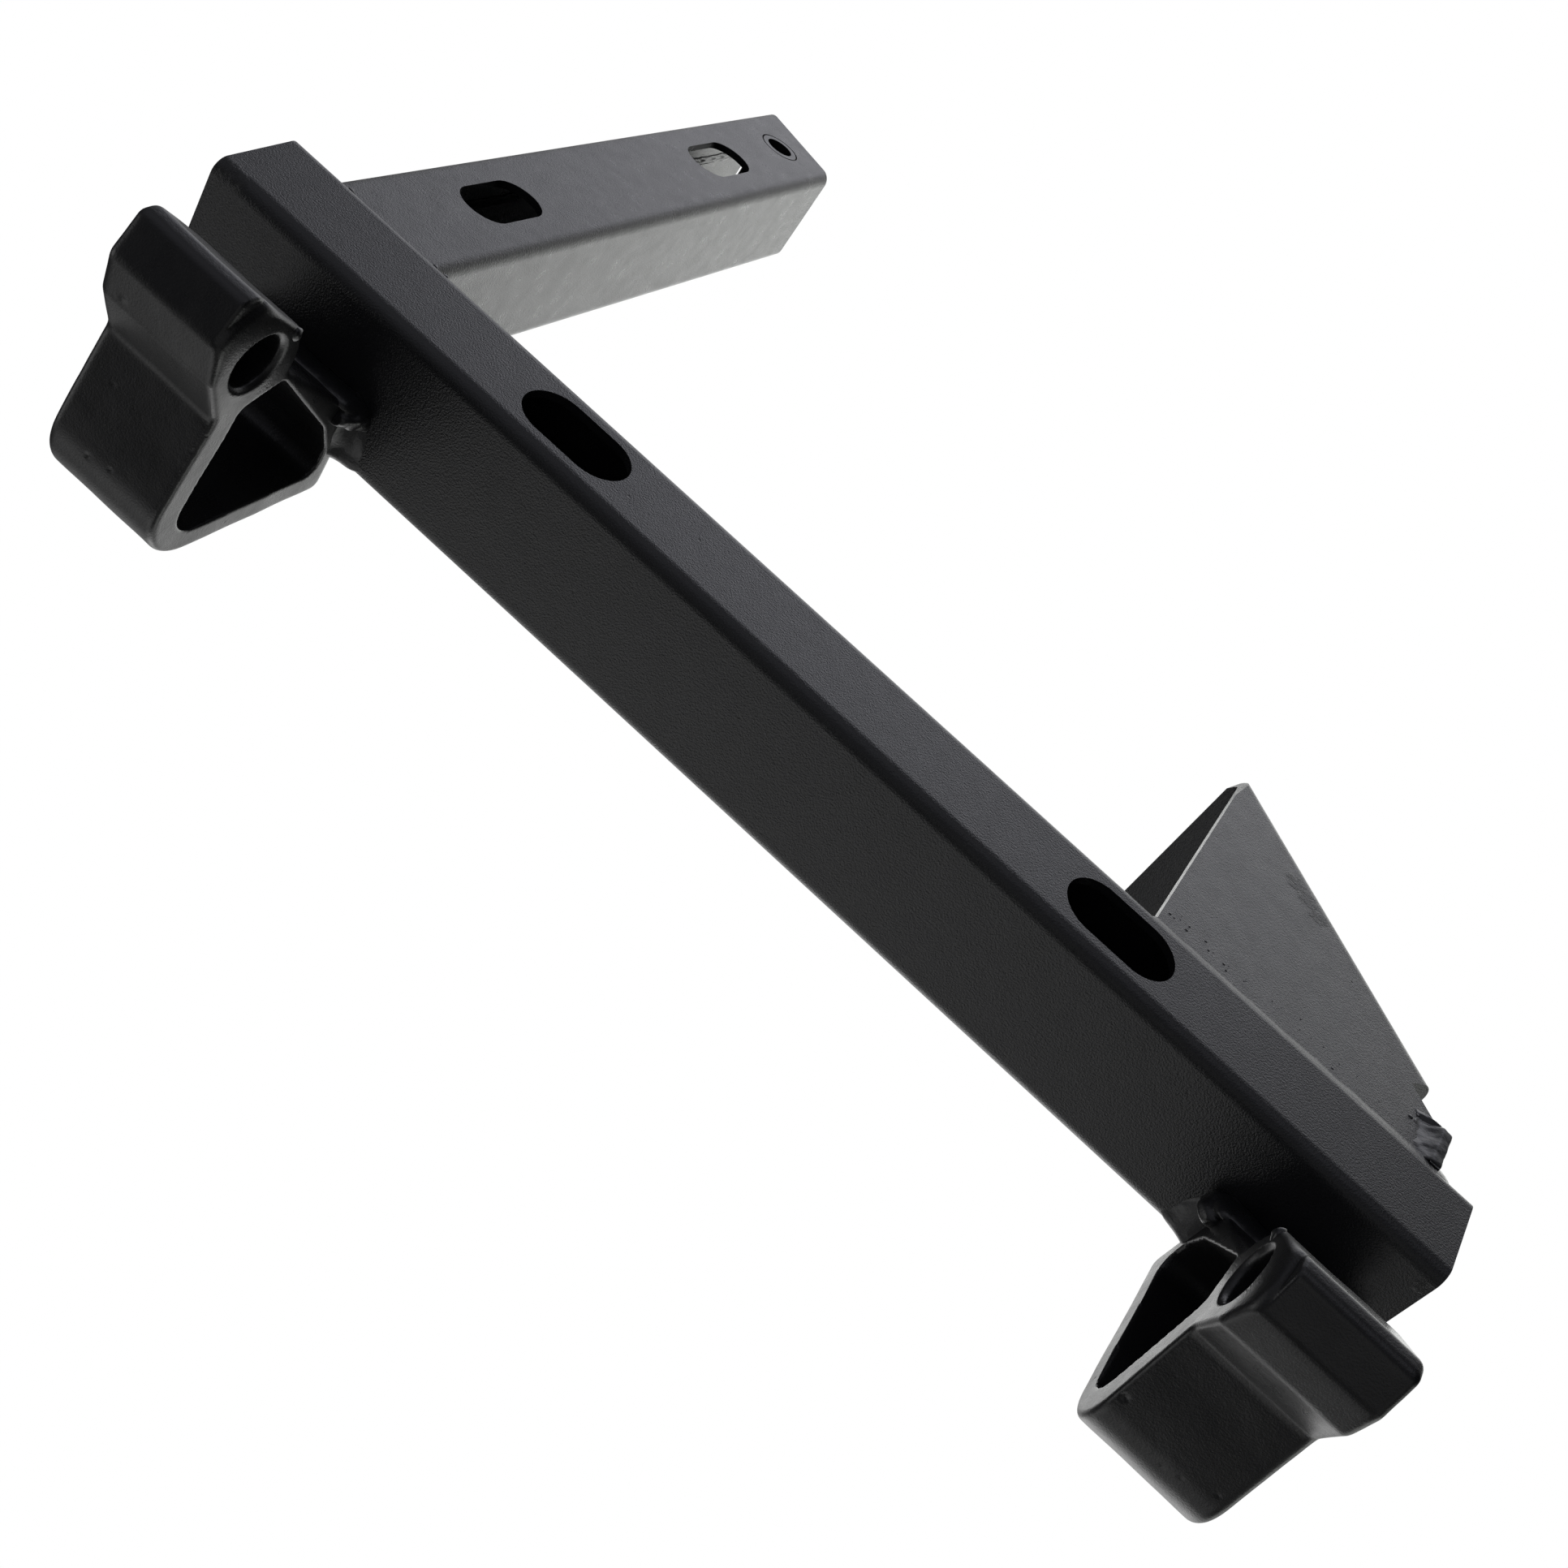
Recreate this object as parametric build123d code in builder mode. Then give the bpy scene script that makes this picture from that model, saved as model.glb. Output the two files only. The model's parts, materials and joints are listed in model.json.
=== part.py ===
"""Hitch cross-member: a rectangular cross beam with a long arm, a formed gusset and two cast lugs.

Millimetres. The origin is the centre of the beam's top face. +X runs along the beam, +Y runs back
along the arm, +Z is up, and the two lugs stand on the beam's front face (-Y).
"""
import os
from math import cos, radians, sin, tan

from build123d import *

# ---- driving dimensions ----
BEAM_LENGTH = 775.0
BEAM_HEIGHT = 88.9
BEAM_DEPTH = 63.5
BEAM_CORNER = 8.2
WALL = 4.8                   # beam and arm tubes

BEAM_SLOT_LENGTH = 64.0
BEAM_SLOT_WIDTH = 38.0
BEAM_SLOT_SPACING = 351.0
BEAM_SLOT_MID_X = 3.0

ARM_SIDE = 75.0
ARM_CORNER = 8.0
ARM_LEFT_X = -370.7          # outer side of the arm where it meets the beam
ARM_TOP_DROP = 12.1          # arm top below beam top, at the beam's rear face
ARM_PITCH = 6.0              # degrees down towards the free end
ARM_TOE_OUT = 1.07           # degrees towards -X
ARM_LENGTH = 560.5           # on the centre line, to the mitred end
ARM_MITRE = 21.3             # degrees, the outer side is the longer one
ARM_SLOT_WIDTH = 32.0
ARM_SLOT_LENGTH = 66.5
ARM_SLOT_STATIONS = (128.5, 417.0)
SLEEVE_STATION = 521.8
SLEEVE_OUTER_RADIUS = 15.0
SLEEVE_BORE_RADIUS = 9.9
SLEEVE_END_CHAMFER = 1.2     # leaves the groove seen round the sleeve's ends

PLATE = 6.4
GUSSET_TOP_DROP = 4.4        # gusset top below beam top, at the beam's rear face
GUSSET_PITCH = 6.0
GUSSET_INNER_X = 190.0
GUSSET_APEX = (198.1, 209.2)         # a point on the flange's outer face: x, and reach from the beam
GUSSET_FLANGE_END = (355.6, 72.1)    # where the flange stops
GUSSET_OVERRUN = 9.6                 # the flange runs past the apex by this much
GUSSET_FLANGE_HEIGHT = 115.0
GUSSET_BEND_RADIUS = 12.0            # outside of the bend
GUSSET_RELIEF = 22.0                 # the plate steps in by this much past the flange's outer end
GUSSET_CORNER_CUT = (190.0, 177.2)   # the corner cut starts here on the inner edge
GUSSET_CORNER_NORMAL = (-0.871, 0.173, 0.459)
GROOVE_BEAD_RISE = 4.6       # bead between the beam's rounded corner and the plate
END_BEAD_REACH = 11.4        # bead between the plate and the end plate
END_BEAD_RISE = 6.0

END_PLATE_X = 360.4          # its inner face
END_PLATE_THICK = 6.0
END_PLATE_REACH = 31.0
END_PLATE_TOP = -1.5
END_PLATE_HEIGHT = 85.0

LUG_WIDTH = 68.5
LUG_LOW_X = {"left_lug": -334.0, "right_lug": 300.2}
LUG_BORE = (102.8, 95.8)     # forward of the beam's front face, above the beam's underside
LUG_BORE_RADIUS = 14.7
LUG_BORE_CHAMFER = 2.2
LUG_EDGE = {"inner": 3.0, "outer": 5.0}    # rounding round the ends of a lug

BEAD = 7.0                   # leg of an ordinary fillet weld
LUG_TOP_BEAD = 8.5
LUG_TOP_BEAD_RUN = 13.0      # forward along the lug's sloping web
LUG_END_BEAD_HIGH = 9.0
LUG_END_BEAD_LOW = {"inner": 20.0, "outer": 13.0}    # they flare towards the beam's underside
LUG_WELD_UP = 41.5           # top of the lug welds above the beam's underside
LUG_SEAT_UP = 33.0           # top of the lug's seat on the beam

# Lug section as corners (forward, up) with the radius that rounds each one.
LUG_OUTLINE = [
    ((0, -20.5), 6),
    ((135, -23.7), 31),
    ((116.3, 66), 8),
    ((129.5, 90), 12),
    ((132.7, 110), 9),
    ((122.3, 131.6), 6),
    ((113, 131.6), 6),
    ((78.5, 107.5), 6),
    ((73.6, 96), 10),
    ((74.5, 82), 5),
    ((0, LUG_SEAT_UP), 5),
]
LUG_EYE = [
    ((10, -7), 9),
    ((114, -10.2), 16),
    ((99.8, 67.5), 9),
    ((75.5, 77.5), 5),
    ((20.5, 28), 12),
    ((10, 10), 10),
]

FRONT_Y = -BEAM_DEPTH / 2
REAR_Y = BEAM_DEPTH / 2
UNDER_Z = -BEAM_HEIGHT
OVERRUN = 1.0                # joined and trimmed shapes run past each other by this much

os.makedirs("parts", exist_ok=True)


def save(part, name):
    """Label a finished piece and write its file."""
    part.label = name
    export_step(part, f"parts/{name}.step")


def rounded_outline(corners):
    """A closed outline in the YZ plane from (forward, up) corners and their radii."""
    points = [(FRONT_Y - forward, UNDER_Z + up) for (forward, up), _ in corners]
    return FilletPolyline(*points, radius=[radius for _, radius in corners], close=True)


def bead_prism(start, end, first_leg, second_leg):
    """A triangular fillet bead from start to end; the legs are two vectors at its root."""
    run = end - start
    section = Plane(origin=start, x_dir=first_leg, z_dir=run)
    with BuildPart() as bead:
        with BuildSketch(section):
            with BuildLine():
                tips = [section.to_local_coords(start + leg) for leg in (first_leg, second_leg)]
                Polyline((0, 0), (tips[0].X, tips[0].Y), (tips[1].X, tips[1].Y), close=True)
            make_face()
        extrude(amount=run.length)
    return bead.part


def trimmed(bead, *neighbours):
    """The bead with its neighbours' solids cut away."""
    with BuildPart() as piece:
        add(bead)
        for neighbour in neighbours:
            add(neighbour, mode=Mode.SUBTRACT)
    return piece.part


# ---- cross beam ----
with BuildPart() as cross_beam:
    with BuildSketch(Plane.YZ.offset(-BEAM_LENGTH / 2)):
        with Locations((0, -BEAM_HEIGHT / 2)):
            RectangleRounded(BEAM_DEPTH, BEAM_HEIGHT, BEAM_CORNER)
            RectangleRounded(
                BEAM_DEPTH - 2 * WALL, BEAM_HEIGHT - 2 * WALL, BEAM_CORNER - WALL, mode=Mode.SUBTRACT
            )
    extrude(amount=BEAM_LENGTH)
    with BuildSketch(Plane.XY):
        with Locations((BEAM_SLOT_MID_X, 0)):
            with GridLocations(BEAM_SLOT_SPACING, 0, 2, 1):
                SlotOverall(BEAM_SLOT_LENGTH, BEAM_SLOT_WIDTH)
    extrude(amount=-2 * WALL, mode=Mode.SUBTRACT)

# ---- arm: arm_top lies on its top face, local x along the arm ----
arm_along = Vector(
    -sin(radians(ARM_TOE_OUT)) * cos(radians(ARM_PITCH)),
    cos(radians(ARM_TOE_OUT)) * cos(radians(ARM_PITCH)),
    -sin(radians(ARM_PITCH)),
)
arm_across = arm_along.cross(Vector(0, sin(radians(ARM_PITCH)), cos(radians(ARM_PITCH)))).normalized()
arm_up = arm_across.cross(arm_along)
arm_root = Vector(ARM_LEFT_X, REAR_Y, -ARM_TOP_DROP) + arm_across * (ARM_SIDE / 2)
arm_top = Plane(origin=arm_root, x_dir=arm_along, z_dir=arm_up)
arm_section = Plane(origin=arm_root - arm_up * (ARM_SIDE / 2), x_dir=arm_across, z_dir=arm_along)
mitre_run = ARM_SIDE / 2 * tan(radians(ARM_MITRE))
ROOT_RUN_IN = 20.0           # extra tube that the beam's rear face trims off
SPARE = 40.0                 # cutters reach this far past what they cut

with BuildPart() as arm:
    with BuildSketch(arm_section.offset(-ROOT_RUN_IN)):
        RectangleRounded(ARM_SIDE, ARM_SIDE, ARM_CORNER)
        RectangleRounded(ARM_SIDE - 2 * WALL, ARM_SIDE - 2 * WALL, ARM_CORNER - WALL, mode=Mode.SUBTRACT)
    extrude(amount=ROOT_RUN_IN + ARM_LENGTH + SPARE)
    with BuildSketch(arm_top):
        with BuildLine():
            Polyline(
                (ARM_LENGTH + 2 * mitre_run, ARM_SIDE),
                (ARM_LENGTH - 2 * mitre_run, -ARM_SIDE),
                (ARM_LENGTH + 2 * SPARE, -ARM_SIDE),
                (ARM_LENGTH + 2 * SPARE, ARM_SIDE),
                close=True,
            )
        make_face()
        with Locations((SLEEVE_STATION, 0)):
            Circle(SLEEVE_OUTER_RADIUS)
    extrude(amount=-ARM_SIDE, mode=Mode.SUBTRACT)
    with BuildSketch(arm_top):
        for station in ARM_SLOT_STATIONS:
            with Locations((station, 0)):
                SlotOverall(ARM_SLOT_LENGTH, ARM_SLOT_WIDTH)
    extrude(amount=-2 * WALL, mode=Mode.SUBTRACT)
    split(bisect_by=Plane.XZ.offset(-REAR_Y), keep=Keep.BOTTOM)

with BuildPart() as arm_crush_sleeve:
    with BuildSketch(arm_top):
        with Locations((SLEEVE_STATION, 0)):
            Circle(SLEEVE_OUTER_RADIUS)
            Circle(SLEEVE_BORE_RADIUS, mode=Mode.SUBTRACT)
    extrude(amount=-ARM_SIDE)
    rims = arm_crush_sleeve.edges().filter_by(GeomType.CIRCLE).group_by(SortBy.RADIUS)[-1]
    chamfer(rims, length=SLEEVE_END_CHAMFER)

save(cross_beam.part, "cross_beam")
save(arm.part, "arm")
save(arm_crush_sleeve.part, "arm_crush_sleeve")

# ---- welds round the arm's root, one bead along each flat side ----
UP, REARWARD, RIGHTWARD = Vector(0, 0, 1), Vector(0, 1, 0), Vector(1, 0, 0)
BEAD_SINK = 1.5              # beads start inside the tube wall and are trimmed back to it
arm_face_height = ARM_SIDE / cos(radians(ARM_PITCH))
arm_middle = Vector(ARM_LEFT_X + ARM_SIDE / 2, REAR_Y, -ARM_TOP_DROP - arm_face_height / 2)
arm_flat = ARM_SIDE / 2 - ARM_CORNER
for side_name, outward, along, half in (
    ("top", UP, RIGHTWARD, arm_face_height / 2),
    ("bottom", -UP, RIGHTWARD, arm_face_height / 2),
    ("outer", -RIGHTWARD, UP, ARM_SIDE / 2),
    ("inner", RIGHTWARD, UP, ARM_SIDE / 2),
):
    root = arm_middle + outward * (half - BEAD_SINK)
    leg = BEAD + BEAD_SINK
    bead = bead_prism(root - along * arm_flat, root + along * arm_flat, outward * leg, REARWARD * leg)
    save(trimmed(bead, arm.part, cross_beam.part), f"arm_{side_name}_weld")

# ---- gusset: a triangular top plate with a deep flange bent down along its long edge ----
gusset_top = Plane(
    origin=(GUSSET_INNER_X, REAR_Y, -GUSSET_TOP_DROP),
    x_dir=(1, 0, 0),
    z_dir=(0, sin(radians(GUSSET_PITCH)), cos(radians(GUSSET_PITCH))),
)
apex = Vector(GUSSET_APEX[0] - GUSSET_INNER_X, GUSSET_APEX[1])
flange_end = Vector(GUSSET_FLANGE_END[0] - GUSSET_INNER_X, GUSSET_FLANGE_END[1])
slope = (flange_end - apex).normalized()
inward = Vector(slope.Y, -slope.X)
flange_start = apex - slope * GUSSET_OVERRUN
relief = flange_end + inward * GUSSET_RELIEF
plate_width = END_PLATE_X - GUSSET_INNER_X
ear = relief + slope * ((plate_width - relief.X) / slope.X)
bend_start = apex + inward * GUSSET_BEND_RADIUS
bend_start_inner = bend_start - slope * (bend_start.X / slope.X)
bend_end = flange_end + inward * GUSSET_BEND_RADIUS
flange_section = Plane(
    origin=gusset_top.from_local_coords(flange_start),
    x_dir=-(gusset_top.x_dir * inward.X + gusset_top.y_dir * inward.Y),
    z_dir=gusset_top.x_dir * slope.X + gusset_top.y_dir * slope.Y,
)
corner_reach = Vector(GUSSET_CORNER_CUT[0] - GUSSET_INNER_X, GUSSET_CORNER_CUT[1])
corner_cut = Plane(origin=gusset_top.from_local_coords(corner_reach), z_dir=GUSSET_CORNER_NORMAL)

with BuildPart() as gusset:
    with BuildSketch(gusset_top):
        with BuildLine():
            Polyline((0, 0), bend_start_inner, bend_end, relief, ear, (plate_width, 0), close=True)
        make_face()
    extrude(amount=-PLATE)
    with BuildSketch(flange_section):
        with BuildLine():
            bend = FilletPolyline(
                (-GUSSET_BEND_RADIUS - OVERRUN, 0),
                (0, 0),
                (0, -GUSSET_FLANGE_HEIGHT),
                radius=GUSSET_BEND_RADIUS,
            )
            offset(bend, amount=PLATE, side=Side.RIGHT)
        make_face()
    extrude(amount=GUSSET_OVERRUN + (flange_end - apex).length)
    split(bisect_by=corner_cut, keep=Keep.BOTTOM)
    add(cross_beam.part, mode=Mode.SUBTRACT)

with BuildPart() as gusset_end_plate:
    with BuildSketch(Plane.YZ.offset(END_PLATE_X)):
        with Locations((REAR_Y, END_PLATE_TOP - END_PLATE_HEIGHT)):
            Rectangle(END_PLATE_REACH, END_PLATE_HEIGHT, align=Align.MIN)
    extrude(amount=END_PLATE_THICK)
    upper_rear = gusset_end_plate.edges().filter_by(Axis.X).group_by(Axis.Y)[-1].sort_by(Axis.Z)[-1]
    fillet(upper_rear, radius=END_PLATE_THICK)
    add(cross_beam.part, mode=Mode.SUBTRACT)

save(gusset.part, "gusset")
save(gusset_end_plate.part, "gusset_end_plate")

plate_root = Vector(GUSSET_INNER_X + OVERRUN, REAR_Y - BEAD_SINK, -GUSSET_TOP_DROP - OVERRUN)
plate_root_end = Vector(END_PLATE_X, plate_root.Y, plate_root.Z)
groove_run = gusset_top.y_dir * (BEAD + BEAD_SINK)
groove_bead = bead_prism(plate_root, plate_root_end, UP * GROOVE_BEAD_RISE, groove_run)
gusset_top_weld = trimmed(groove_bead, cross_beam.part, gusset.part)
save(gusset_top_weld, "gusset_top_weld")

end_start = Vector(END_PLATE_X, REAR_Y, -GUSSET_TOP_DROP)
end_stop = end_start + gusset_top.y_dir * (ear.Y - OVERRUN)
end_bead = bead_prism(
    end_start, end_stop, -RIGHTWARD * END_BEAD_REACH, gusset_top.z_dir * END_BEAD_RISE
)
save(
    trimmed(end_bead, cross_beam.part, gusset.part, gusset_end_plate.part, gusset_top_weld),
    "gusset_end_weld",
)

end_plate_low = END_PLATE_TOP - END_PLATE_HEIGHT + BEAM_CORNER
for side_name, x, away in (
    ("inner", END_PLATE_X, -RIGHTWARD),
    ("outer", END_PLATE_X + END_PLATE_THICK, RIGHTWARD),
):
    start = Vector(x, REAR_Y, end_plate_low)
    end = Vector(x, REAR_Y, -BEAM_CORNER - PLATE)
    bead = bead_prism(start, end, away * BEAD, REARWARD * BEAD)
    save(
        trimmed(bead, cross_beam.part, gusset.part, gusset_end_plate.part),
        f"end_plate_{side_name}_weld",
    )

# ---- lugs: two identical castings, each a boss with a cross bore over a closed eye ----
(web_forward, web_up), _ = LUG_OUTLINE[-2]
web_rise = (web_up - LUG_SEAT_UP) / web_forward

for name, low_x in LUG_LOW_X.items():
    high_x = low_x + LUG_WIDTH
    low_side, high_side = ("outer", "inner") if low_x < 0 else ("inner", "outer")
    low_seat, high_seat = low_x + LUG_EDGE[low_side], high_x - LUG_EDGE[high_side]
    with BuildPart() as lug:
        with BuildSketch(Plane.YZ.offset(low_x)):
            with BuildLine():
                rounded_outline(LUG_OUTLINE)
            make_face()
            with BuildLine():
                rounded_outline(LUG_EYE)
            make_face(mode=Mode.SUBTRACT)
        extrude(amount=LUG_WIDTH)
        for end, side_name in ((0, low_side), (-1, high_side)):
            end_face = lug.faces().sort_by(Axis.X)[end]
            fillet(end_face.outer_wire().edges(), radius=LUG_EDGE[side_name])
        with BuildSketch(Plane.YZ.offset(low_x)):
            with Locations((FRONT_Y - LUG_BORE[0], UNDER_Z + LUG_BORE[1])):
                Circle(LUG_BORE_RADIUS)
        extrude(amount=LUG_WIDTH, mode=Mode.SUBTRACT)
        mouths = [
            edge
            for edge in lug.edges().filter_by(GeomType.CIRCLE)
            if abs(edge.radius - LUG_BORE_RADIUS) < 0.01
        ]
        chamfer(mouths, length=LUG_BORE_CHAMFER)
    save(lug.part, name)

    # Bead in the groove between the lug's sloping web and the beam's front face.
    groove_start = Vector(low_seat, FRONT_Y, UNDER_Z + LUG_SEAT_UP)
    groove_end = Vector(high_seat, FRONT_Y, UNDER_Z + LUG_SEAT_UP)
    web_leg = Vector(0, -1, web_rise) * LUG_TOP_BEAD_RUN
    bead = bead_prism(groove_start, groove_end, UP * LUG_TOP_BEAD, web_leg)
    top_weld = trimmed(bead, cross_beam.part, lug.part)
    save(top_weld, f"{name}_top_weld")

    # Flared bead down each end of the lug's seat.
    end_welds = []
    for side_name, x, seat, away in ((low_side, low_x, low_seat, -1), (high_side, high_x, high_seat, 1)):
        with BuildPart() as flare:
            for up, leg in ((-OVERRUN, LUG_END_BEAD_LOW[side_name]), (LUG_WELD_UP, LUG_END_BEAD_HIGH)):
                with BuildSketch(Plane.XY.offset(UNDER_Z + up)):
                    with BuildLine():
                        Polyline(
                            (seat, FRONT_Y),
                            (x + away * leg, FRONT_Y),
                            (seat, FRONT_Y - LUG_END_BEAD_HIGH),
                            close=True,
                        )
                    make_face()
            loft()
        piece = trimmed(flare.part, cross_beam.part, lug.part, top_weld)
        save(piece, f"{name}_{side_name}_weld")
        end_welds.append(piece)

    # Bead along the beam's underside, behind the lug's lower edge.
    under_start, under_end = Vector(low_seat, FRONT_Y, UNDER_Z), Vector(high_seat, FRONT_Y, UNDER_Z)
    bead = bead_prism(under_start, under_end, -UP * BEAD, REARWARD * (BEAM_CORNER + BEAD))
    save(trimmed(bead, cross_beam.part, lug.part, *end_welds), f"{name}_under_weld")
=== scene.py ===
"""Looks for the hitch cross-member: coated tube, plate and castings, with sculpted weld beads.

Metres, in the CAD frame: +X along the beam, +Y back along the arm, +Z up.
"""
import json
import math
import random

import bmesh
import bpy
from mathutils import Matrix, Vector, noise


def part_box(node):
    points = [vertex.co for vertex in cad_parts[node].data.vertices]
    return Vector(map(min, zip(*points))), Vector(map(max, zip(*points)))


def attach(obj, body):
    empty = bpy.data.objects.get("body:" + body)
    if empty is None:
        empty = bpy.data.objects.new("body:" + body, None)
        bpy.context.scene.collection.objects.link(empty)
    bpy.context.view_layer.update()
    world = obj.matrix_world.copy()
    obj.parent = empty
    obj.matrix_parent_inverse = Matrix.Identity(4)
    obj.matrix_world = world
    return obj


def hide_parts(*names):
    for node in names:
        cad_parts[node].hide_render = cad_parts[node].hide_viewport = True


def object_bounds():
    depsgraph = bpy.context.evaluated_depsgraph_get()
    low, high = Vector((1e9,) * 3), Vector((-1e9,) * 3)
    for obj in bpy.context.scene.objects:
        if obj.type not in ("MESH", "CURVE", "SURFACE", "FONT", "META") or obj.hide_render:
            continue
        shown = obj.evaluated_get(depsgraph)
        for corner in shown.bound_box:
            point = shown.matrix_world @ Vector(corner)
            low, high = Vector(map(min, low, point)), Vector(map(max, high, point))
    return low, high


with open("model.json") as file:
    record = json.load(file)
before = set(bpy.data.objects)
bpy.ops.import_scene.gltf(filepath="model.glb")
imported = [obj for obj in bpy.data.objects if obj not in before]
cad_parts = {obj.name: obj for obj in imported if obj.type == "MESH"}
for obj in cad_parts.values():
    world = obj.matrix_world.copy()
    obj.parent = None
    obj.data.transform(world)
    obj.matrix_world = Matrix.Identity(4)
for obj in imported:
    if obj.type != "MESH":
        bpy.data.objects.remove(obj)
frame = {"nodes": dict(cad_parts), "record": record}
cad_low, cad_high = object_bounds()

MM = 0.001
X, Y, Z = Vector((1, 0, 0)), Vector((0, 1, 0)), Vector((0, 0, 1))
PITCH = math.radians(6.0)            # arm and gusset slope down towards the rear
TOE_OUT = math.radians(1.07)
TOE_SINK = 1.0 * MM                  # weld toes and roots sit this far inside what they are welded to
RIPPLE_PITCH = 2.6 * MM

beam_low, beam_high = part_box("cross_beam")
FRONT_Y, REAR_Y = beam_low.y, beam_high.y
UNDER_Z = beam_low.z


# ---- materials ----
def node(tree, kind, **inputs):
    """A shader node with its inputs set: a socket is linked, anything else is a value."""
    made = tree.nodes.new(kind)
    for key, value in inputs.items():
        if hasattr(made, key):
            setattr(made, key, value)
            continue
        socket = made.inputs[key.replace("_", " ")]
        if isinstance(value, bpy.types.NodeSocket):
            tree.links.new(value, socket)
        else:
            socket.default_value = value
    return made


def ramp(tree, factor, *stops):
    """Grey levels along a factor."""
    made = tree.nodes.new("ShaderNodeValToRGB")
    tree.links.new(factor, made.inputs["Fac"])
    elements = made.color_ramp.elements
    while len(elements) < len(stops):
        elements.new(0.5)
    for element, (position, level) in zip(elements, stops):
        element.position = position
        element.color = (level, level, level, 1)
    return made.outputs["Color"]


def mix(tree, kind, factor, first, second):
    made = tree.nodes.new("ShaderNodeMix")
    made.data_type = "RGBA"
    made.blend_type = kind
    for socket, value in zip((made.inputs[0], made.inputs[6], made.inputs[7]), (factor, first, second)):
        if isinstance(value, bpy.types.NodeSocket):
            tree.links.new(value, socket)
        else:
            socket.default_value = value
    return made.outputs[2]


def bumped(tree, height, strength, distance, below=None):
    """One layer of bump over the layers below it."""
    layer = node(tree, "ShaderNodeBump", Height=height, Strength=strength, Distance=distance)
    if below:
        tree.links.new(below, layer.inputs["Normal"])
    return layer.outputs["Normal"]


def spots(tree, place, centres, radius):
    """1 in a ragged patch round each centre, 0 elsewhere."""
    total = None
    ragged = node(tree, "ShaderNodeTexNoise", Vector=place, Scale=260.0, Detail=4.0, Roughness=0.7)
    for centre in centres:
        gap = node(tree, "ShaderNodeVectorMath", operation="DISTANCE")
        tree.links.new(place, gap.inputs[0])
        gap.inputs[1].default_value = centre
        near = node(tree, "ShaderNodeMapRange", Value=gap.outputs["Value"])
        near.inputs["From Min"].default_value = radius
        near.inputs["From Max"].default_value = 0.0
        total = mix(tree, "ADD", 1.0, total, near.outputs[0]) if total else near.outputs[0]
    patch = mix(tree, "MULTIPLY", 1.0, total, ramp(tree, ragged.outputs["Fac"], (0.38, 0.0), (0.62, 1.0)))
    return ramp(tree, patch, (0.04, 0.0), (0.30, 1.0))


def coated(name, color, rough, peel, grain, pits, worn=(), worn_radius=0.0):
    """Black coating: a fine grain on long waves, pimples whose dents carry painted shade, uneven gloss and
    tone, worn patches.

    peel, grain and pits are the strengths of the fine grain, of the sand-cast grain and of the pimples.
    """
    material = bpy.data.materials.new(name)
    material.use_nodes = True
    tree = material.node_tree
    tree.nodes.clear()
    place = node(tree, "ShaderNodeTexCoord").outputs["Object"]
    fine = node(tree, "ShaderNodeTexNoise", Vector=place, Scale=950.0, Detail=2.0, Roughness=0.6)
    waves = node(tree, "ShaderNodeTexNoise", Vector=place, Scale=85.0, Detail=3.0, Roughness=0.55)
    broad = node(tree, "ShaderNodeTexNoise", Vector=place, Scale=11.0, Detail=4.0, Roughness=0.6)
    cells = node(tree, "ShaderNodeTexVoronoi", Vector=place, Scale=64.0, Randomness=1.0)
    sparse = node(tree, "ShaderNodeTexNoise", Vector=place, Scale=27.0, Detail=1.0)
    pit_dent_and_shade = ramp(tree, cells.outputs["Distance"], (0.0, 0.0), (0.05, 0.6), (0.08, 1.0))
    pit_dent_and_shade = mix(tree, "MIX", ramp(tree, sparse.outputs["Fac"], (0.54, 1.0), (0.58, 0.0)), pit_dent_and_shade, (1, 1, 1, 1))
    casting = node(tree, "ShaderNodeTexNoise", Vector=place, Scale=330.0, Detail=3.0, Roughness=0.65)

    base = mix(tree, "MULTIPLY", 1.0, (*color, 1), ramp(tree, broad.outputs["Fac"], (0.3, 0.8), (0.7, 1.2)))
    # Painted shade: the base colour darkens to 0.4 of itself towards each pit's centre, as shade lying in the
    # dent.
    base = mix(tree, "MULTIPLY", 0.6, base, pit_dent_and_shade)
    gloss = ramp(tree, waves.outputs["Fac"], (0.3, rough - 0.035), (0.7, rough + 0.035))
    normal = bumped(tree, fine.outputs["Fac"], peel, 0.0004)
    normal = bumped(tree, waves.outputs["Fac"], peel * 0.08, 0.0012, normal)
    normal = bumped(tree, casting.outputs["Fac"], grain, 0.0012, normal)
    normal = bumped(tree, pit_dent_and_shade, pits, 0.0005, normal)
    if worn:
        patch = spots(tree, place, worn, worn_radius)
        base = mix(tree, "MIX", patch, base, (0.009, 0.009, 0.009, 1))
        gloss = mix(tree, "MIX", patch, gloss, (0.40, 0.40, 0.40, 1))
        normal = bumped(tree, patch, 0.5, 0.0005, normal)
    shader = node(tree, "ShaderNodeBsdfPrincipled")
    tree.links.new(base, shader.inputs["Base Color"])
    tree.links.new(gloss, shader.inputs["Roughness"])
    tree.links.new(normal, shader.inputs["Normal"])
    shader.inputs["IOR"].default_value = 1.5
    out = tree.nodes.new("ShaderNodeOutputMaterial")
    tree.links.new(shader.outputs[0], out.inputs["Surface"])
    return material


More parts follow.
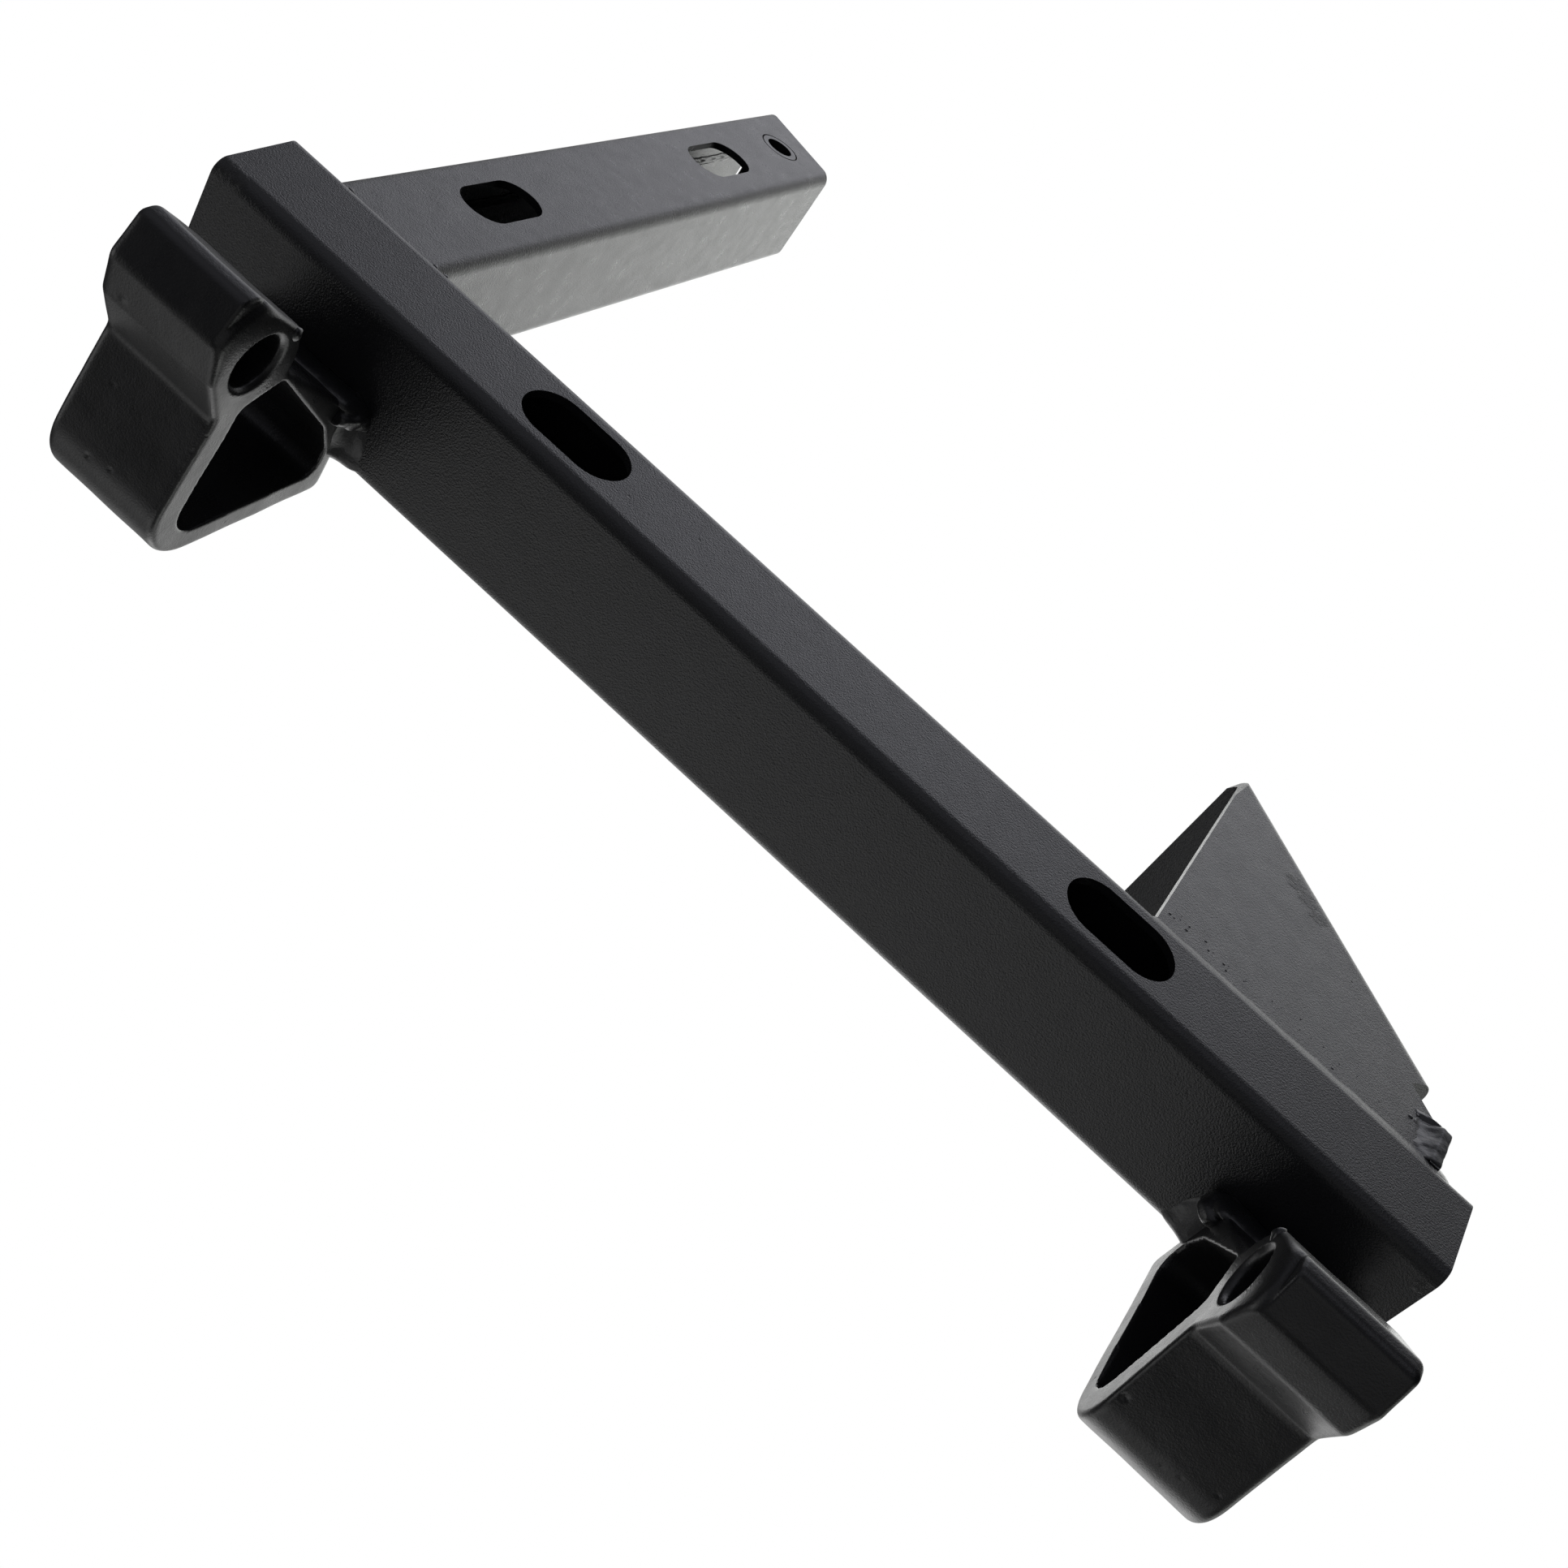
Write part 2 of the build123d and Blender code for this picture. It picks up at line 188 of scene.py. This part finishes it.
BLACK = (0.0105, 0.0108, 0.0118)
CHIPS = ((-0.381, -0.027, -0.003), (-0.374, -0.030, -0.002), (0.386, -0.0315, -0.013))
SCUFFS = ((0.243, 0.174, -0.019), (0.252, 0.168, -0.019), (0.262, 0.160, -0.018))
MATERIALS = {
    "coated_tube": coated("tube_coating", BLACK, 0.30, 0.80, 0.0, 0.4, CHIPS, 0.007),
    "coated_plate": coated("plate_coating", BLACK, 0.31, 0.85, 0.0, 0.5, SCUFFS, 0.009),
    "coated_sleeve": coated("sleeve_coating", BLACK, 0.32, 0.30, 0.0, 0.2),
    "coated_weld": coated("weld_coating", BLACK, 0.30, 0.30, 0.05, 0.3),
    "coated_casting": coated("casting_coating", (0.0100, 0.0101, 0.0106), 0.29, 0.34, 0.06, 0.6),
}
slot_of = {row["node"]: row["material_slot"] for row in frame["record"]["subparts"]}
for name, thing in frame["nodes"].items():
    for place in thing.material_slots:
        place.material = MATERIALS[slot_of[name]]


# ---- shaping ----
def piece(name, mesh, slot, *nodes):
    """A mesh as a smooth piece that rides on the part and stands for the named CAD nodes."""
    mesh.name = name
    mesh.materials.clear()
    mesh.materials.append(MATERIALS[slot])
    mesh.polygons.foreach_set("use_smooth", [True] * len(mesh.polygons))
    thing = bpy.data.objects.new(name, mesh)
    bpy.context.scene.collection.objects.link(thing)
    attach(thing, "root")
    if nodes:
        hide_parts(*nodes)
    return thing


def solid(bm):
    """The mesh of a bmesh, with its faces turned outward."""
    bmesh.ops.recalc_face_normals(bm, faces=bm.faces)
    mesh = bpy.data.meshes.new("solid")
    bm.to_mesh(mesh)
    bm.free()
    return mesh


def melted(mesh, voxel, rounds):
    """The shells of a mesh run together into one skin and softened."""
    thing = bpy.data.objects.new("melting", mesh)
    bpy.context.scene.collection.objects.link(thing)
    skin = thing.modifiers.new("skin", "REMESH")
    skin.mode = "VOXEL"
    skin.voxel_size = voxel
    soften = thing.modifiers.new("soften", "SMOOTH")
    soften.factor = 0.5
    soften.iterations = rounds
    shown = thing.evaluated_get(bpy.context.evaluated_depsgraph_get())
    made = bpy.data.meshes.new_from_object(shown)
    bpy.data.objects.remove(thing)
    return made


def roughened(mesh, *layers):
    """Push each point out along its normal by layers of noise, each (height, size, seed)."""
    normals = [vert.normal.copy() for vert in mesh.vertices]
    for vert, normal in zip(mesh.vertices, normals):
        place = vert.co.copy()
        for height, size, seed in layers:
            vert.co += normal * height * noise.noise(place / size + Vector((seed, 0, 0)))
    return mesh


def steady(u):
    return 1.0, 1.0


def bead(bm, start, end, first, second, crown=0.16, ripple=0.10 * MM, wander=0.10, seed=0.0,
         tapers=(3.0, 3.0), legs=steady, columns=16, step=0.5):
    """A fillet bead from start to end, as a closed shell.

    first and second are its two legs, measured from the root; crown bulges the face out, or
    scoops it in when negative; legs(u) grows or shrinks the two legs along the run; tapers are
    the lengths in millimetres over which the two ends round off.
    """
    run = end - start
    length = run.length
    rows = max(12, int(length / (step * MM)))
    outward = (first.normalized() + second.normalized()).normalized()
    smaller = min(first.length, second.length)
    rings = []
    for i in range(rows + 1):
        u = i / rows
        along = u * length
        drift = Vector((along * 90, seed, 0.0))
        grow_first, grow_second = legs(u)
        grow_first *= 1 + wander * noise.noise(drift)
        grow_second *= 1 + wander * noise.noise(drift + Vector((0, 17.0, 5.0)))
        cap = 1.0
        for gap, reach in ((along, tapers[0] * MM), (length - along, tapers[1] * MM)):
            if gap < reach:
                cap = min(cap, math.sqrt(max(0.03, 1 - (1 - gap / reach) ** 2)))
        centre = start + run * u
        ring = [bm.verts.new(centre - outward * TOE_SINK * 2)]
        for j in range(columns + 1):
            t = j / columns
            arch = 4 * t * (1 - t)
            wave = math.sin((along + arch * RIPPLE_PITCH * 0.9) / RIPPLE_PITCH * math.tau
                            + 1.6 * noise.noise(Vector((along * 150, seed + 3, 1))))
            height = crown * smaller * arch + ripple * wave * math.sqrt(arch)
            point = centre + first * (grow_first * (1 - t) * cap) + second * (grow_second * t * cap)
            point += outward * height * cap
            point -= second.normalized() * TOE_SINK * max(0, 1 - t * columns / 2)
            point -= first.normalized() * TOE_SINK * max(0, 1 - (1 - t) * columns / 2)
            ring.append(bm.verts.new(point))
        rings.append(ring)
    for low, high in zip(rings, rings[1:]):
        for j in range(len(low)):
            k = (j + 1) % len(low)
            bm.faces.new((low[j], low[k], high[k], high[j]))
    bm.faces.new(rings[0])
    bm.faces.new(list(reversed(rings[-1])))


def blob(bm, centre, size, flat=0.45, seed=0.0, facets=3):
    """A small uneven lump, such as a dot of spatter; size is one radius or three."""
    sizes = size if isinstance(size, tuple) else (size, size, size * flat)
    made = bmesh.ops.create_icosphere(bm, subdivisions=facets, radius=1.0)
    for vert in made["verts"]:
        wobble = 1 + 0.25 * noise.noise(vert.co * 1.3 + Vector((seed, seed * 2, 0)))
        vert.co = centre + Vector(a * b for a, b in zip(vert.co, sizes)) * wobble


# ---- castings ----
EDGE_RELIEF = 5.0 * MM        # how far the boss's inner end rounds off beyond the machined ring
RING_RADIUS = 19.5 * MM
BOSS_RADIUS = 33.0 * MM
RELIEF_DEPTH = 13.0 * MM      # the rounding fades out this far in from the end
BORE = (102.8 * MM, 95.8 * MM)    # forward of the beam, above its underside
BOSS_UP = 80 * MM             # the boss is the part of a lug above this
CASTING_VOXEL = 0.95 * MM
# Pits and bumps in the sand-cast skin: (from the inner end, forward, up), radius, depth.
PITS = {
    "left_lug": (((44, 128, 10), 1.7, 0.9), ((31, 127, 13), 1.2, 0.7), ((50, 120.5, 46), 0.9, 0.5),
                 ((54, 130, 94), 2.2, -0.5), ((1, 120, 48), 1.3, 0.6)),
    "right_lug": (((4, 126, 20.5), 1.9, 1.3), ((36, 128, 8), 1.0, 0.7), ((44.5, 128, 10.5), 1.1, 0.7),
                  ((59.5, 126.6, 16.6), 1.1, 0.7), ((34, 136, 103), 1.2, -0.4)),
}


def boss_rounding(forward, up):
    """How far the end face steps in here: round the upper boss only, outside the machined ring."""
    out = math.hypot(forward - BORE[0], up - BORE[1])
    share = min(1.0, max(0.0, (out - RING_RADIUS) / (BOSS_RADIUS - RING_RADIUS)))
    arc = 1 - math.sqrt(max(0.0, 1 - share * share))
    upper = min(1.0, max(0.0, (up - BORE[1] + 6 * MM) / (9 * MM)))
    return EDGE_RELIEF * arc * upper


def casting(name, inner_x, away, seed):
    """A lug with a rounded inner boss end, pits and a softly uneven skin.

    inner_x is its inner end, and away is the side of it that is clear of the lug.
    """
    mesh = melted(frame["nodes"][name].data.copy(), CASTING_VOXEL, 2)
    pits = [(Vector((inner_x - away * x * MM, FRONT_Y - f * MM, UNDER_Z + u * MM)), radius * MM, depth * MM)
            for (x, f, u), radius, depth in PITS[name]]
    normals = [vert.normal.copy() for vert in mesh.vertices]
    for vert, normal in zip(mesh.vertices, normals):
        place = vert.co
        forward, up = FRONT_Y - place.y, place.z - UNDER_Z
        if up > BOSS_UP:
            gap = abs(place.x - inner_x)
            if gap < RELIEF_DEPTH:
                place.x -= away * boss_rounding(forward, up) * (1 - gap / RELIEF_DEPTH)
        for centre, radius, depth in pits:
            gap = (place - centre).length
            if gap < radius * 2:
                place -= normal * depth * math.exp(-(gap / radius) ** 2 * 2)
    swell = (0.4 * MM, 26 * MM, seed)
    ripple = (0.04 * MM, 7 * MM, seed + 5)
    skin = (0.015 * MM, 2.6 * MM, seed + 9)
    roughened(mesh, swell, ripple, skin)
    return piece(f"{name}_casting", mesh, "coated_casting", name)


left_low, left_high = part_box("left_lug")
right_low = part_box("right_lug")[0]
casting("left_lug", left_high.x, 1, 3.0)
casting("right_lug", right_low.x, -1, 8.0)


NUB = (1.6 * MM, 83.0 * MM, 106.3 * MM)       # from the inner end, forward, up
NUB_SIZE = (3.2 * MM, 4.0 * MM, 4.0 * MM)


def boss_nub(name, inner_x, away):
    """The stub of a feeder left on the boss's rear top corner."""
    inset, forward, up = NUB
    bm = bmesh.new()
    blob(bm, Vector((inner_x - away * inset, FRONT_Y - forward, UNDER_Z + up)), NUB_SIZE, seed=inner_x * 9)
    piece(f"{name}_nub", solid(bm), "coated_weld")


boss_nub("left_lug", left_high.x, 1)
boss_nub("right_lug", right_low.x, -1)


# ---- welds that hold the lugs: two passes down each end, one bead above and one below ----
SEAT_UP = UNDER_Z + 33 * MM
LUG_WIDTH = left_high.x - left_low.x
WEB_WAY = Vector((0, -1, 0.64)).normalized()     # forward and up along the lug's sloping web
PASS_SPLIT = 28 * MM              # the two passes meet this far above the beam's underside
PASS_TOP = 42 * MM
PASS_ROOT = 2.5 * MM              # the passes start this far inside the lug's end
TOP_LEGS = (10 * MM, 23 * MM)     # up the beam, along the web
LOWER_FORWARD = 9.6 * MM          # the lug's wall is 10 mm thick here
UPPER_LEGS = (13.2 * MM, 13.5 * MM)
KNOB = (4.5 * MM, 8 * MM, 34.5 * MM)          # fills the corner where the beads meet: out, forward, up
KNOB_SIZE = (8.5 * MM, 11 * MM, 7 * MM)
UNDER_LEGS = (6.5 * MM, 11 * MM)
WELD_VOXEL = 0.6 * MM


def lower_pass(u):
    """Spreads out along the beam towards its underside, and forward with the lug's wall towards its top."""
    return 1.0 - 0.42 * u ** 1.6, 1.0 + 0.85 * max(0.0, (u - 0.35) / 0.65)


def upper_pass(u):
    """Rounds off towards its top."""
    return 1.0 - 0.55 * u ** 1.8, 1.0 - 0.25 * u ** 2


def lug_welds(name, inner_x, away, flares, seed):
    """One mass of weld round a lug's foot; flares are its inner and outer reach along the beam."""
    outer_x = inner_x - away * LUG_WIDTH
    bm = bmesh.new()
    seat = Vector((0, FRONT_Y, SEAT_UP - 2 * MM))
    top_start, top_end = inner_x + away * 8.5 * MM, outer_x + away * 2 * MM
    bead(bm, seat + X * top_start, seat + X * top_end, Z * TOP_LEGS[0], WEB_WAY * TOP_LEGS[1],
         crown=0.30, wander=0.16, seed=seed, tapers=(9, 3), step=1.0)
    for x, side, flare in ((inner_x, away, flares[0]), (outer_x, -away, flares[1])):
        foot = Vector((x - side * PASS_ROOT, FRONT_Y + 0.5 * MM, UNDER_Z))
        reach = flare * MM + PASS_ROOT
        bead(bm, foot + Z * 1 * MM, foot + Z * (PASS_SPLIT + 2 * MM), X * side * reach, -Y * LOWER_FORWARD,
             crown=-0.26, wander=0.08, seed=seed + 3 + side, legs=lower_pass, tapers=(6, 1.5), step=1.0)
        bead(bm, foot + Z * (PASS_SPLIT - 1 * MM), foot + Z * PASS_TOP, X * side * UPPER_LEGS[0],
             -Y * UPPER_LEGS[1], crown=0.26, wander=0.12, seed=seed + 7 + side, legs=upper_pass,
             tapers=(2.5, 9), step=1.0)
        out, forward, up = KNOB
        blob(bm, foot + X * side * out - Y * forward + Z * up, KNOB_SIZE, seed=seed + side)
    below = Vector((min(inner_x, outer_x) + 3 * MM, FRONT_Y + 3 * MM, UNDER_Z))
    bead(bm, below, below + X * (LUG_WIDTH - 6 * MM), -Z * UNDER_LEGS[0], Y * UNDER_LEGS[1],
         crown=0.15, seed=seed + 11, step=1.0)
    mesh = melted(solid(bm), WELD_VOXEL, 12)
    swell = (0.7 * MM, 12 * MM, seed)
    ripple = (0.10 * MM, 3.4 * MM, seed + 2)
    skin = (0.03 * MM, 1.3 * MM, seed + 4)
    roughened(mesh, swell, ripple, skin)
    nodes = [f"{name}_{where}_weld" for where in ("top", "inner", "outer", "under")]
    piece(f"{name}_welds", mesh, "coated_weld", *nodes)


lug_welds("left_lug", left_high.x, 1, (20, 13), 40.0)
lug_welds("right_lug", right_low.x, -1, (20, 13), 60.0)

# ---- gusset welds ----
gusset_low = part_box("gusset")[0]
plate_low, plate_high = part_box("gusset_end_plate")
BACK_DOWN = Vector((0, math.cos(PITCH), -math.sin(PITCH)))      # along the gusset's plate
PLATE_UP = Vector((0, math.sin(PITCH), math.cos(PITCH)))
GUSSET_TOP = -4.4 * MM                                          # at the beam's rear face


def on_gusset(x, reach, above=0.0):
    """A point on the gusset's plate, x and reach from the beam in millimetres."""
    return Vector((x * MM, REAR_Y, GUSSET_TOP)) + BACK_DOWN * reach * MM + PLATE_UP * above * MM


def groove_legs(u):
    """Thin at the gusset's inner edge, full where it meets the end plate."""
    return 0.75 + 0.35 * u, 0.72 + 0.38 * u


bm = bmesh.new()
groove = on_gusset(gusset_low.x / MM + 0.5, -1.2, -0.4)
bead(bm, groove, groove + X * (plate_high.x + 9 * MM - groove.x), Vector((0, -3.7 * MM, 3.6 * MM)),
     BACK_DOWN * 7.4 * MM, crown=0.12, ripple=0.05 * MM, wander=0.16, seed=2.0, legs=groove_legs,
     tapers=(4, 9), step=0.6)
mesh = roughened(solid(bm), (0.15 * MM, 9 * MM, 2.0), (0.03 * MM, 2 * MM, 4.0))
piece("gusset_top_bead", mesh, "coated_weld", "gusset_top_weld")

# Scooped bead between the plate and the end plate, with a lip at the plate's edge.
SCOOP_REACH = 38.0               # millimetres back from the beam, as all the sizes in this bead
END_PLATE_REACH = 29.5
PLATE_INNER, PLATE_OUTER = 361.0, 366.9
BROW_SHARE = 0.78                # how much of the face climbs; the rest lies over the end plate
END_TOP = plate_high.z
bm = bmesh.new()
rows, columns = 50, 30
grid = []
for i in range(rows + 1):
    reach = 1.5 + (SCOOP_REACH - 1.5) * i / rows
    toe = 347.5 + 2.2 * noise.noise(Vector((reach * 0.14, 3, 0))) + 2.5 * max(0, 1 - reach / 9)
    past = max(0, reach - END_PLATE_REACH)
    tip = PLATE_OUTER - 1.5 * past
    brow = min(PLATE_INNER, tip - 3)
    start = on_gusset(toe, reach, -0.3)
    brow_z = max(on_gusset(brow, reach).z + 0.5 * MM, END_TOP + 0.8 * MM - 0.75 * MM * past)
    row = []
    for j in range(columns + 1):
        t = j / columns
        climb = min(1, t / BROW_SHARE)
        over = max(0, (t - BROW_SHARE) / (1 - BROW_SHARE))
        point = on_gusset(toe + (brow - toe) * climb + (tip - brow) * over, reach)
        point.z = start.z + (brow_z - start.z) * climb ** 2.4 - 0.5 * MM * over ** 2
        lip = math.exp(-((reach - 34.5) / 1.7) ** 2) * math.exp(-((t - 0.35) / 0.30) ** 2)
        toe_ridge = math.exp(-((t - 0.07) / 0.07) ** 2) * (0.6 + 0.4 * math.sin(reach * 0.5))
        point.z += 1.3 * MM * lip + 0.6 * MM * toe_ridge
        row.append(bm.verts.new(point))
    grid.append(row)
under = [[bm.verts.new(Vector((v.co.x, v.co.y, min(v.co.z, on_gusset(0, 0).z) - 5 * MM))) for v in row]
         for row in grid]
for sheet, turn in ((grid, 1), (under, -1)):
    for a, b in zip(sheet, sheet[1:]):
        for j in range(columns):
            bm.faces.new((a[j], a[j + 1], b[j + 1], b[j])[::turn])
for top_edge, low_edge in (
    (grid[0], under[0]),
    (grid[-1], under[-1]),
    ([row[0] for row in grid], [row[0] for row in under]),
    ([row[-1] for row in grid], [row[-1] for row in under]),
):
    for k in range(len(top_edge) - 1):
        bm.faces.new((top_edge[k], top_edge[k + 1], low_edge[k + 1], low_edge[k]))
mesh = melted(solid(bm), 0.5 * MM, 3)
roughened(mesh, (0.5 * MM, 7 * MM, 3.0), (0.1 * MM, 2.5 * MM, 5.0))
piece("gusset_end_bead", mesh, "coated_weld", "gusset_end_weld")

for side, x, away in (("inner", plate_low.x, -1), ("outer", plate_high.x, 1)):
    bm = bmesh.new()
    bead(bm, Vector((x, REAR_Y, UNDER_Z + 10 * MM)), Vector((x, REAR_Y, -9 * MM)),
         X * away * 7 * MM, Y * 7 * MM, ripple=0.16 * MM, seed=11.0 + away)
    mesh = roughened(solid(bm), (0.4 * MM, 6 * MM, 7.0 + away))
    piece(f"end_plate_{side}_bead", mesh, "coated_weld", f"end_plate_{side}_weld")

# Dots of spatter beside the beads: x, reach, radius in millimetres.
SPATTER = ((194.4, 15.4, 0.9), (197.1, 15.1, 0.6), (205.3, 14.1, 0.9), (205.8, 19.0, 0.7), (216.4, 19.1, 0.8),
           (219.6, 13.8, 0.7), (229.5, 13.9, 0.8), (232.0, 10.5, 0.7), (300.0, 9.0, 0.7), (346.0, 26.6, 1.4),
           (354.2, 23.7, 1.2), (349.5, 33.0, 1.2))
scatter = random.Random(7)
bm = bmesh.new()
for i, (x, reach, size) in enumerate(SPATTER):
    blob(bm, on_gusset(x, reach), size * MM, seed=i)
for i in range(22):
    reach = 12 + abs(scatter.gauss(0, 9))
    spot = on_gusset(scatter.uniform(194, 350), reach)
    blob(bm, spot, scatter.uniform(0.25, 0.5) * MM, seed=30 + i, facets=2)
piece("gusset_spatter", solid(bm), "coated_weld")

# ---- arm welds and the seam inside the arm ----
ARM_LEFT, ARM_SIDE, ARM_TOP = -370.7 * MM, 75 * MM, -12.1 * MM
arm_height = ARM_SIDE / math.cos(PITCH)
arm_mid = Vector((ARM_LEFT + ARM_SIDE / 2, REAR_Y, ARM_TOP - arm_height / 2))
flat = ARM_SIDE / 2 - 3 * MM
for side, outward, along, half in (
    ("top", Z, X, arm_height / 2),
    ("bottom", -Z, X, arm_height / 2),
    ("outer", -X, Z, ARM_SIDE / 2),
    ("inner", X, Z, ARM_SIDE / 2),
):
    root = arm_mid + outward * half
    bm = bmesh.new()
    bead(bm, root - along * flat, root + along * flat, outward * 7 * MM, Y * 7 * MM, ripple=0.16 * MM,
         wander=0.2, seed=20 + outward.x * 3 + outward.z)
    mesh = roughened(solid(bm), (0.5 * MM, 6 * MM, 1.0))
    piece(f"arm_{side}_bead", mesh, "coated_weld", f"arm_{side}_weld")

# Dots of spatter at the arm's root: x, y, z, radius in millimetres.
ROOT_SPATTER = ((-352, 33, -4.5, 2.0), (-293, 33.4, -4.6, 1.6), (-286, 33.6, -5.0, 1.5))
bm = bmesh.new()
for i, (x, y, z, size) in enumerate(ROOT_SPATTER):
    blob(bm, Vector((x, y, z)) * MM, size * MM, seed=i + 50)
piece("arm_root_spatter", solid(bm), "coated_weld")

level = math.cos(PITCH)
ARM_ALONG = Vector((-math.sin(TOE_OUT) * level, math.cos(TOE_OUT) * level, -math.sin(PITCH)))
ARM_ACROSS = ARM_ALONG.cross(PLATE_UP).normalized()
ARM_UP = ARM_ACROSS.cross(ARM_ALONG)
arm_root = Vector((ARM_LEFT, REAR_Y, ARM_TOP)) + ARM_ACROSS * ARM_SIDE / 2
seam = arm_root - ARM_ACROSS * 32.4 * MM - ARM_UP * 34 * MM
bm = bmesh.new()
seam_start, seam_end = seam + ARM_ALONG * 10 * MM, seam + ARM_ALONG * 552 * MM
seam_up, seam_down = ARM_UP * 2.6 * MM, -ARM_UP * 2.6 * MM + ARM_ACROSS * 0.1 * MM
bead(bm, seam_start, seam_end, seam_up, seam_down,
     crown=0.0, ripple=0.3 * MM, wander=0.35, seed=31, step=1.2, columns=8)
piece("arm_inside_seam", solid(bm), "coated_weld")


# ---- stage, light and camera ----
floor_mesh = bpy.data.meshes.new("studio_floor")
bm = bmesh.new()
bmesh.ops.create_icosphere(bm, subdivisions=5, radius=14.0)
for vert in bm.verts:
    vert.co.z = max(vert.co.z, cad_low.z)
bm.to_mesh(floor_mesh)
bm.free()
floor = bpy.data.objects.new("studio_floor", floor_mesh)
bpy.context.scene.collection.objects.link(floor)
white = bpy.data.materials.new("studio_white")
white.use_nodes = True
white.node_tree.nodes.clear()
shine = node(white.node_tree, "ShaderNodeEmission", Color=(1, 1, 1, 1), Strength=1.0)
white_out = white.node_tree.nodes.new("ShaderNodeOutputMaterial")
white.node_tree.links.new(shine.outputs[0], white_out.inputs["Surface"])
floor_mesh.materials.append(white)
floor.visible_diffuse = False
floor.visible_glossy = False
floor.visible_shadow = False
floor.visible_transmission = False

COOL, PLAIN, WARM = (0.93, 0.94, 1.05), (1.0, 1.0, 1.0), (0.98, 1.0, 0.97)
# Soft panels round the object: the way to each, how tight it is, its brightness and its tint.
PANELS = (
    ((-0.04, 0.89, 0.46), 28, 1.26, COOL),
    ((-0.38, 0.90, 0.24), 28, 0.72, COOL),
    ((0.17, 0.98, 0.10), 12, 0.50, PLAIN),
    ((-0.18, 0.98, -0.12), 12, 0.70, PLAIN),
    ((0.36, 0.89, -0.26), 28, 1.40, WARM),
    ((0.03, 0.87, -0.49), 28, 1.30, WARM),
    ((-0.26, 0.74, -0.62), 28, 1.30, PLAIN),
    ((0.42, 0.68, -0.60), 28, 1.00, PLAIN),
    ((0.84, 0.04, -0.54), 28, 1.65, WARM),
    ((0.12, 0.11, -0.99), 12, 2.00, PLAIN),
    ((-0.86, -0.41, -0.29), 28, 1.10, PLAIN),
    ((-0.28, -0.62, -0.74), 28, 0.90, PLAIN),
    ((0.11, -0.79, -0.60), 28, 0.80, PLAIN),
    ((0.17, 0.00, 0.99), 28, 0.40, COOL),
    ((-0.48, -0.08, 0.88), 3, 0.35, COOL),
    ((0.21, -0.91, 0.35), 28, 0.35, PLAIN),
    ((-0.72, -0.65, -0.24), 28, 0.40, PLAIN),
    ((0.72, -0.65, -0.24), 28, 0.30, PLAIN),
    ((0.70, -0.66, 0.26), 28, 0.25, PLAIN),
)
world = bpy.data.worlds.new("studio")
bpy.context.scene.world = world
world.use_nodes = True
tree = world.node_tree
tree.nodes.clear()
way = node(tree, "ShaderNodeTexCoord").outputs["Generated"]
total = None
for direction, tightness, brightness, tint in PANELS:
    facing = node(tree, "ShaderNodeVectorMath", operation="DOT_PRODUCT")
    tree.links.new(way, facing.inputs[0])
    facing.inputs[1].default_value = Vector(direction).normalized()
    falloff = node(tree, "ShaderNodeMath", operation="MULTIPLY_ADD")
    tree.links.new(facing.outputs["Value"], falloff.inputs[0])
    falloff.inputs[1].default_value = tightness
    falloff.inputs[2].default_value = -tightness
    panel = node(tree, "ShaderNodeMath", operation="EXPONENT")
    tree.links.new(falloff.outputs[0], panel.inputs[0])
    lit = node(tree, "ShaderNodeVectorMath", operation="SCALE")
    lit.inputs[0].default_value = [brightness * part for part in tint]
    tree.links.new(panel.outputs[0], lit.inputs["Scale"])
    if total:
        added = node(tree, "ShaderNodeVectorMath", operation="ADD")
        tree.links.new(total, added.inputs[0])
        tree.links.new(lit.outputs[0], added.inputs[1])
        total = added.outputs[0]
    else:
        total = lit.outputs[0]
background = node(tree, "ShaderNodeBackground", Color=total, Strength=1.0)
world_out = tree.nodes.new("ShaderNodeOutputWorld")
tree.links.new(background.outputs[0], world_out.inputs["Surface"])

camera_data = bpy.data.cameras.new("camera")
camera_data.sensor_width = 36.0
camera_data.lens = 45.995
camera_data.clip_start, camera_data.clip_end = 0.05, 60.0
camera = bpy.data.objects.new("camera", camera_data)
camera.location = (0.09909, -0.78583, 0.53229)
camera.rotation_euler = tuple(math.radians(angle) for angle in (45.645, -29.766, 32.222))
bpy.context.scene.collection.objects.link(camera)
bpy.context.scene.camera = camera
bpy.context.scene.view_settings.view_transform = "Standard"

bpy.context.view_layer.update()
